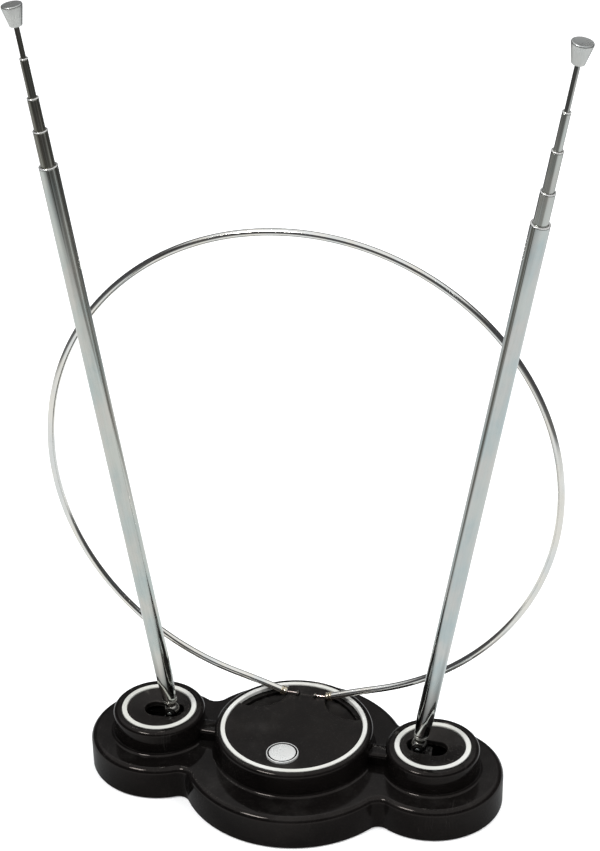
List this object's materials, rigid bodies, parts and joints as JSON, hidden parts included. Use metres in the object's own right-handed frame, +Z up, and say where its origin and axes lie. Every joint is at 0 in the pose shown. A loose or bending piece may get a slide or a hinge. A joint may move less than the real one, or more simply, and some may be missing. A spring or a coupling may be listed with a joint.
{
  "type": "rabbit ears antenna",
  "caption": "Table-top television antenna: glossy black three-lobed base with white rings, telescoping masts that fold outwards, and a tilting round wire loop.",
  "frame": {"origin": "middle of the base's underside, on the surface it stands on", "axes": "+Z up; +X along the row of three lobes, to the right seen from the front; -Y towards the front, where the badge is"},
  "size_m": [0.2191, 0.0954, 0.3372],
  "materials": {
    "black_gloss": "glossy black moulding, lightly scratched",
    "black_satin": "fine-textured satin black",
    "ivory": "ivory white trim",
    "chrome": "chrome plate, slightly clouded with age",
    "dark_chrome": "darkened plating",
    "satin_metal": "satin plated metal",
    "brass": "plain brass",
    "steel": "zinc-plated steel",
    "cast_iron": "raw casting",
    "rubber": "matt black rubber",
    "fibre_board": "brown fibre board",
    "ferrite": "grey-black ferrite",
    "wire_cover": "red insulated wire"
  },
  "bodies": {
    "base": {"base_shell": "black_gloss", "bottom_plate": "steel", "plate_screw_1": "steel", "plate_screw_2": "steel", "plate_screw_3": "steel", "plate_screw_4": "steel", "middle_pad": "rubber", "left_pad": "rubber", "right_pad": "rubber", "ballast": "cast_iron", "middle_disc": "black_satin", "middle_ring": "ivory", "badge": "satin_metal", "left_dish": "black_satin", "left_ring": "ivory", "right_dish": "black_satin", "right_ring": "ivory", "cable_gland": "rubber", "terminal_board": "fibre_board", "matching_core": "ferrite", "left_loop_contact": "brass", "left_lead": "wire_cover", "left_cradle": "steel", "right_loop_contact": "brass", "right_lead": "wire_cover", "right_cradle": "steel"},
    "loop": {"loop": "chrome", "left_loop_ferrule": "brass", "right_loop_ferrule": "brass"},
    "left_saddle": {"left_saddle": "satin_metal", "left_hinge_pin": "chrome", "left_tension_screw": "steel", "left_tension_spring": "steel"},
    "left_mast": {"left_mast_foot": "dark_chrome", "left_tube_1": "chrome"},
    "left_section_2": {"left_tube_2": "chrome", "left_sleeve_2": "brass"},
    "left_section_3": {"left_tube_3": "chrome", "left_sleeve_3": "brass"},
    "left_section_4": {"left_tube_4": "chrome", "left_sleeve_4": "brass"},
    "left_section_5": {"left_tip_rod": "chrome", "left_rod_stop": "brass", "left_tip_cap": "satin_metal"},
    "right_saddle": {"right_saddle": "satin_metal", "right_hinge_pin": "chrome", "right_tension_screw": "steel", "right_tension_spring": "steel"},
    "right_mast": {"right_mast_foot": "dark_chrome", "right_tube_1": "chrome"},
    "right_section_2": {"right_tube_2": "chrome", "right_sleeve_2": "brass"},
    "right_section_3": {"right_tube_3": "chrome", "right_sleeve_3": "brass"},
    "right_section_4": {"right_tube_4": "chrome", "right_sleeve_4": "brass"},
    "right_section_5": {"right_tip_rod": "chrome", "right_rod_stop": "brass", "right_tip_cap": "satin_metal"}
  },
  "joints": [
    {"name": "loop_tilt", "type": "hinge", "parent": "base", "child": "loop", "pos_m": [0, 0.0215, 0.0266], "axis": [-1, 0, 0], "range_deg": [0, 60]},
    {"name": "left_rock", "type": "hinge", "parent": "base", "child": "left_saddle", "pos_m": [-0.0527, 0, 0.0255], "axis": [1, 0, 0], "range_deg": [-7.25, 4.75]},
    {"name": "left_fold", "type": "hinge", "parent": "left_saddle", "child": "left_mast", "pos_m": [-0.0527, 0, 0.0255], "axis": [0, -0.9973, -0.0741], "range_deg": [-8.52, 65.48]},
    {"name": "left_slide_2", "type": "slide", "parent": "left_mast", "child": "left_section_2", "axis": [-0.1136, -0.0736, 0.9908], "range_m": [-0.0118, 0.2082]},
    {"name": "left_slide_3", "type": "slide", "parent": "left_section_2", "child": "left_section_3", "axis": [-0.1136, -0.0736, 0.9908], "range_m": [-0.0104, 0.2056]},
    {"name": "left_slide_4", "type": "slide", "parent": "left_section_3", "child": "left_section_4", "axis": [-0.1136, -0.0736, 0.9908], "range_m": [-0.0127, 0.1993]},
    {"name": "left_slide_5", "type": "slide", "parent": "left_section_4", "child": "left_section_5", "axis": [-0.1136, -0.0736, 0.9908], "range_m": [-0.0096, 0.1984]},
    {"name": "right_rock", "type": "hinge", "parent": "base", "child": "right_saddle", "pos_m": [0.0527, 0, 0.0255], "axis": [1, 0, 0], "range_deg": [-9.06, 2.94]},
    {"name": "right_fold", "type": "hinge", "parent": "right_saddle", "child": "right_mast", "pos_m": [0.0527, 0, 0.0255], "axis": [0, 0.9944, 0.1056], "range_deg": [-12.05, 61.95]},
    {"name": "right_slide_2", "type": "slide", "parent": "right_mast", "child": "right_section_2", "axis": [0.1745, -0.104, 0.9792], "range_m": [-0.0105, 0.2095]},
    {"name": "right_slide_3", "type": "slide", "parent": "right_section_2", "child": "right_section_3", "axis": [0.1745, -0.104, 0.9792], "range_m": [-0.0136, 0.2024]},
    {"name": "right_slide_4", "type": "slide", "parent": "right_section_3", "child": "right_section_4", "axis": [0.1745, -0.104, 0.9792], "range_m": [-0.0124, 0.1996]},
    {"name": "right_slide_5", "type": "slide", "parent": "right_section_4", "child": "right_section_5", "axis": [0.1745, -0.104, 0.9792], "range_m": [-0.0149, 0.1931]}
  ]
}
